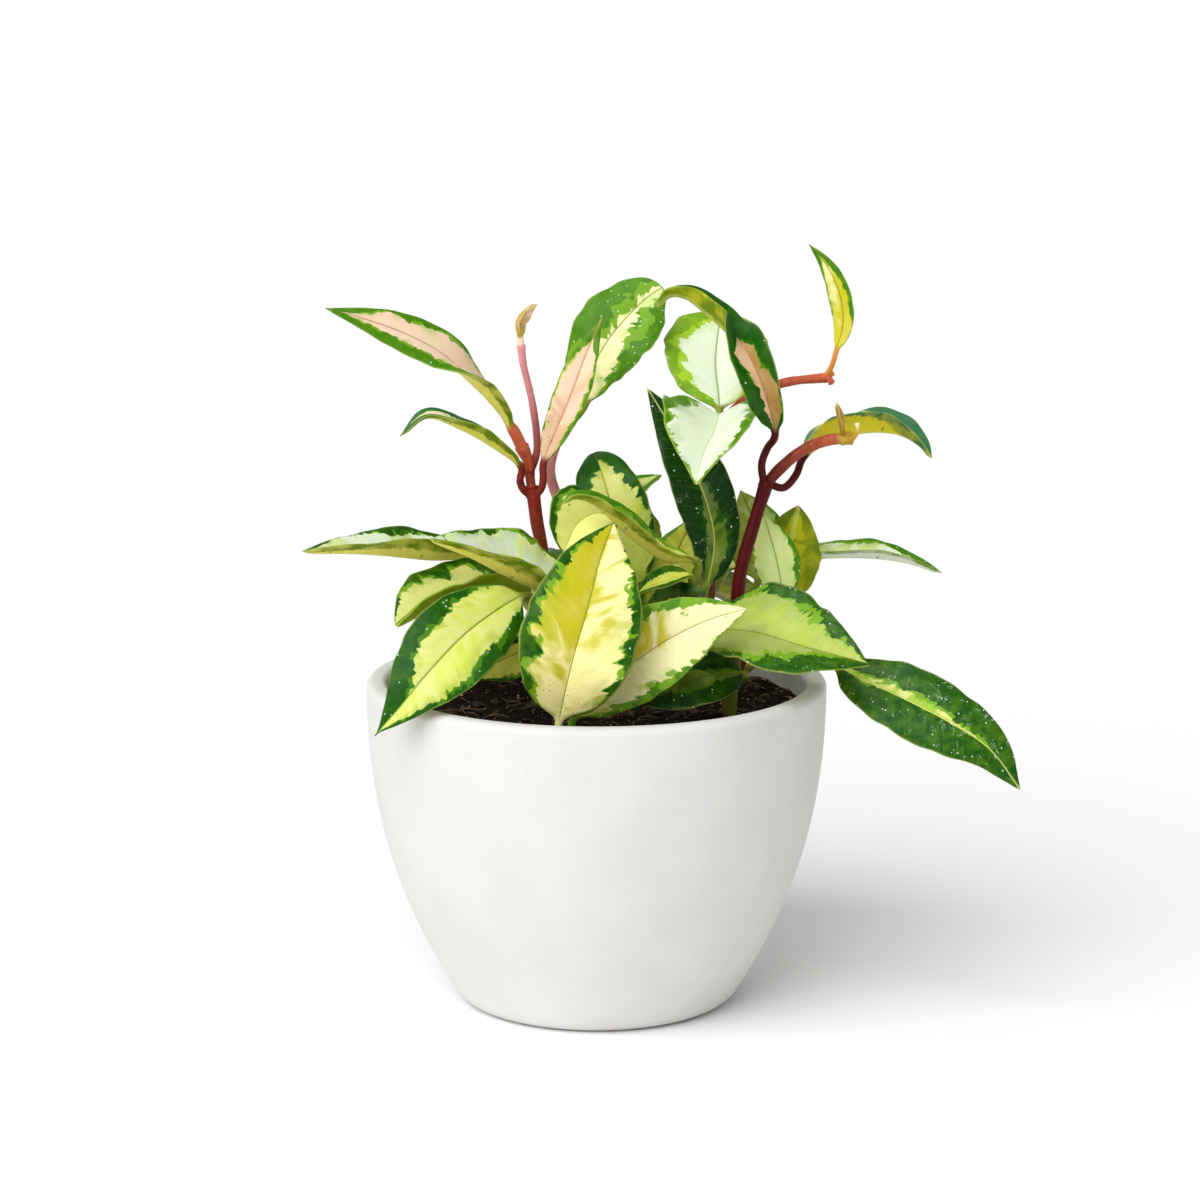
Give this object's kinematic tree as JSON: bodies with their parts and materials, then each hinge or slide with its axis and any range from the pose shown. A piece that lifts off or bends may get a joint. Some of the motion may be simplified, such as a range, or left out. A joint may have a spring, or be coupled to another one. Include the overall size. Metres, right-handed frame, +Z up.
{
  "type": "potted variegated hoya",
  "caption": "Trailing house plant with thick keeled cream, green and pink leaves on red stems, planted in potting mix in a plain white tapering pot.",
  "frame": {"origin": "centre of the pot's flat base, on the surface it stands on", "axes": "+Z up, -Y towards the front of the plant, +X to its right as seen from the front"},
  "size_m": [0.213, 0.1545, 0.2309],
  "materials": {
    "ceramic": "matte",
    "potting_mix": "rough",
    "stem": "satin",
    "leaf": "satin",
    "young_leaf": "satin"
  },
  "bodies": {
    "root": {"pot": "ceramic", "stem_left": "stem", "stem_left_back": "stem", "stem_middle": "stem", "stem_right": "stem", "stem_low_left": "stem", "stem_low_middle": "stem", "stem_low_front": "stem", "stem_low_right": "stem", "stem_back": "stem", "leaf_front_centre": "leaf", "leaf_front_right": "leaf", "leaf_front_left": "leaf", "leaf_left_low": "leaf", "leaf_left": "leaf", "leaf_far_left": "leaf", "leaf_low_left": "leaf", "leaf_low_right": "leaf", "leaf_right": "leaf", "leaf_far_right": "leaf", "leaf_centre_upright": "leaf", "leaf_centre_left": "leaf", "leaf_centre_arch": "leaf", "leaf_centre_low": "leaf", "leaf_centre_dark": "leaf", "leaf_tall": "leaf", "leaf_white_up": "leaf", "leaf_white_down": "leaf", "leaf_arching": "leaf", "leaf_right_drooping": "leaf", "leaf_top_right": "leaf", "leaf_bud_right": "young_leaf", "leaf_bud_left": "young_leaf", "leaf_top_middle": "leaf", "leaf_blush": "leaf", "leaf_upper_left": "leaf", "leaf_left_drooping": "leaf", "leaf_right_back": "leaf", "leaf_right_upright": "leaf", "leaf_right_cream": "leaf", "leaf_right_pale": "leaf", "leaf_small_behind": "leaf", "leaf_behind_tip": "leaf", "leaf_back_left": "leaf", "leaf_back_low_left": "leaf", "leaf_back_hanging": "leaf", "leaf_back_right": "leaf", "leaf_back_upright": "leaf", "leaf_back_far_right": "leaf", "leaf_back_low_right": "leaf", "leaf_back_hanging_left": "leaf", "leaf_back_side_right": "leaf", "leaf_back_mid_left": "leaf", "leaf_back_mid_right": "leaf", "soil": "potting_mix"}
  },
  "joints": []
}
